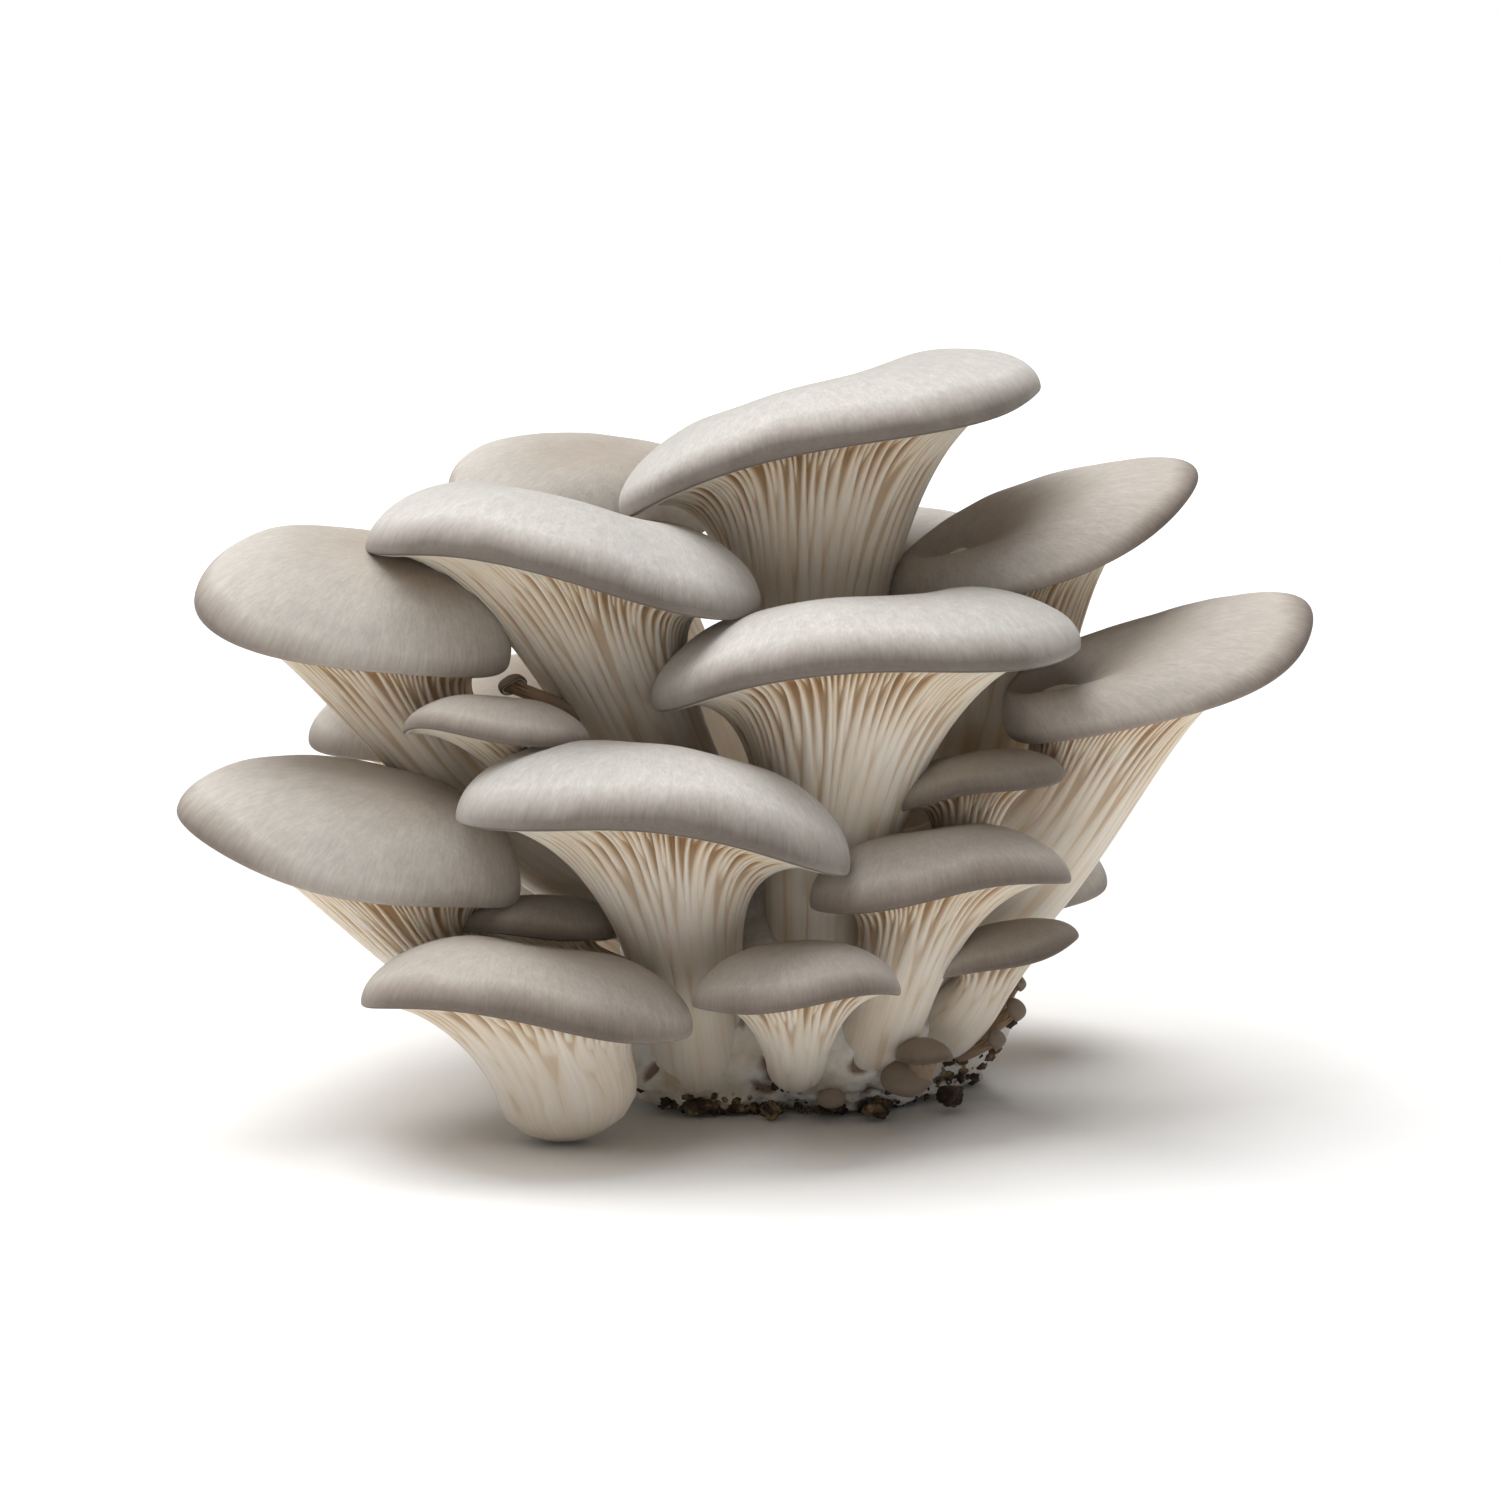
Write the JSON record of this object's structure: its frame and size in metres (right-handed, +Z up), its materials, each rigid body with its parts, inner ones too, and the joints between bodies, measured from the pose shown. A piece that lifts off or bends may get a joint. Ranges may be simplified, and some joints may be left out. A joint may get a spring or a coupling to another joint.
{
  "type": "oyster mushroom cluster",
  "caption": "Fresh cut cluster of oyster mushrooms: greige fan-shaped caps with cream gills on stems that grow from one lumpy white mycelium foot.",
  "frame": {"origin": "middle of the bounding box's bottom face, on the surface that the cut foot stands on", "axes": "+X along the widest spread of the caps, +Y from the front low caps to the back, +Z up"},
  "size_m": [0.1956, 0.1528, 0.1319],
  "materials": {
    "cap_skin": "soft, dry, finely streaked skin",
    "gill_flesh": "matte, moist cream gills and stem",
    "mycelium": "matte, cottony white felt",
    "bark": "rough, damp, broken"
  },
  "bodies": {
    "root": {"back_high_mushroom": "cap_skin", "back_left_bud": "cap_skin", "back_left_mushroom": "cap_skin", "back_low_left_bud": "cap_skin", "back_low_right_mushroom": "cap_skin", "back_middle_mushroom": "cap_skin", "back_right_mushroom": "cap_skin", "bark_crumb_back_left": "bark", "bark_crumb_back_right": "bark", "bark_crumb_front": "bark", "bark_crumb_front_left": "bark", "bark_crumb_front_right": "bark", "bark_crumb_right": "bark", "centre_mushroom": "cap_skin", "crown_mushroom": "cap_skin", "far_right_mushroom": "cap_skin", "front_bud": "cap_skin", "front_low_mushroom": "cap_skin", "front_mushroom": "cap_skin", "front_pin_high": "cap_skin", "front_pin_low": "cap_skin", "front_pin_small": "cap_skin", "inner_left_bud": "cap_skin", "left_bud": "cap_skin", "left_high_mushroom": "cap_skin", "left_low_mushroom": "cap_skin", "mycelium_base": "mycelium", "right_high_bud": "cap_skin", "right_low_bud": "cap_skin", "right_middle_mushroom": "cap_skin", "right_pin_high": "cap_skin", "right_pin_low": "cap_skin", "right_pin_middle": "cap_skin", "upper_left_mushroom": "cap_skin", "upper_left_pin": "cap_skin", "upper_right_mushroom": "cap_skin"}
  },
  "joints": []
}
